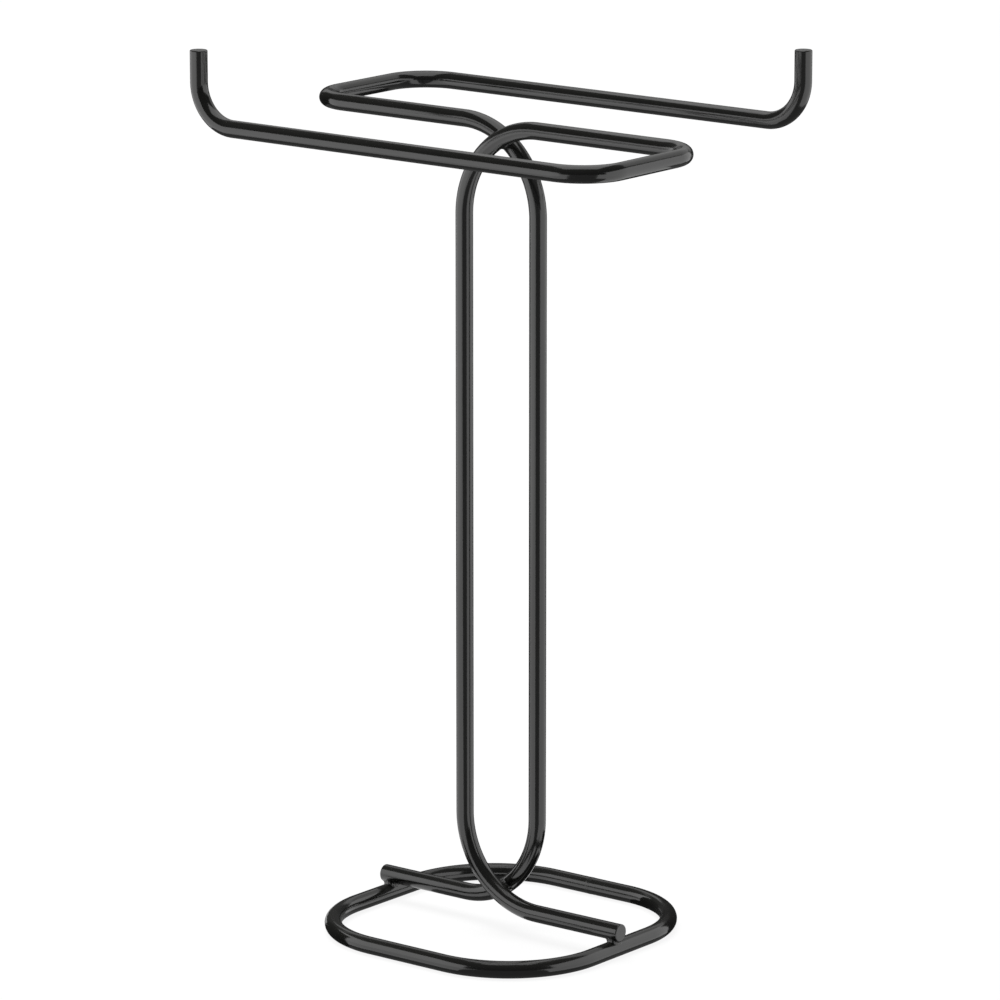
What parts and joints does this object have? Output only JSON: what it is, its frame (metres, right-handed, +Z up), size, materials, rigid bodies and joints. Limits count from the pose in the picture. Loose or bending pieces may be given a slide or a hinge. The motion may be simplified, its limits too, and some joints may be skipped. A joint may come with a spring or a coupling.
{
  "type": "countertop towel stand",
  "caption": "Free-standing countertop towel stand of bent round rod: a rounded square base ring, a looped upright and S-shaped towel arms with upturned tips, all welded.",
  "frame": {"origin": "on the counter, at the stand's vertical half-turn axis", "axes": "+Z up from the counter, +X along the towel arms towards the front rod's crossbar, -Y towards the front towel arm"},
  "size_m": [0.1942, 0.143, 0.333],
  "materials": {
    "coated_rod": "black powder coat, smooth semi-gloss",
    "coated_weld": "black powder coat over weld metal"
  },
  "bodies": {
    "root": {"front_arm_rod": "coated_rod", "rear_arm_rod": "coated_rod", "base_ring": "coated_rod", "ring_seam_weld": "coated_weld", "upper_crossing_weld": "coated_weld", "lower_crossing_weld": "coated_weld", "front_foot_weld": "coated_weld", "rear_foot_weld": "coated_weld"}
  },
  "joints": []
}
